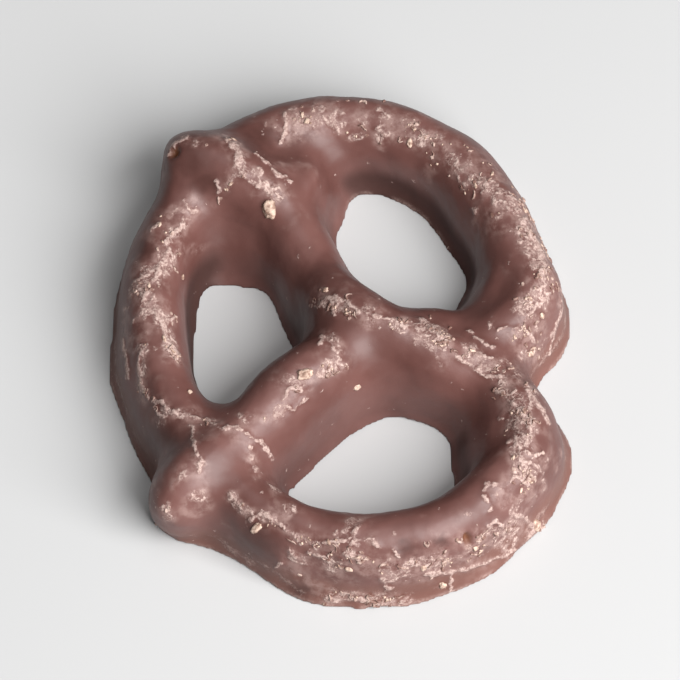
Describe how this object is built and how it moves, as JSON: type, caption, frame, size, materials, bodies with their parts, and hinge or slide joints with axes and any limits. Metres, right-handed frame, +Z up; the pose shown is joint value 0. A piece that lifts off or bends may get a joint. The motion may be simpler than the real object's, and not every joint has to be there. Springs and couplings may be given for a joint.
{
  "type": "chocolate covered pretzel",
  "caption": "Small pretzel in a classic knot, coated all over in satin dark milk chocolate, with rounded crossings, open loops and a flat foot.",
  "frame": {"origin": "middle of the bounding box at the level of the flat foot", "axes": "+Z up out of the flat foot, +Y across the knot from the near ear to the far ear, +X towards the side where the two ears meet"},
  "size_m": [0.0364, 0.0444, 0.0091],
  "materials": {
    "chocolate": "satin dark milk chocolate with pale scuffs on its ridges"
  },
  "bodies": {
    "root": {"pretzel": "chocolate"}
  },
  "joints": []
}
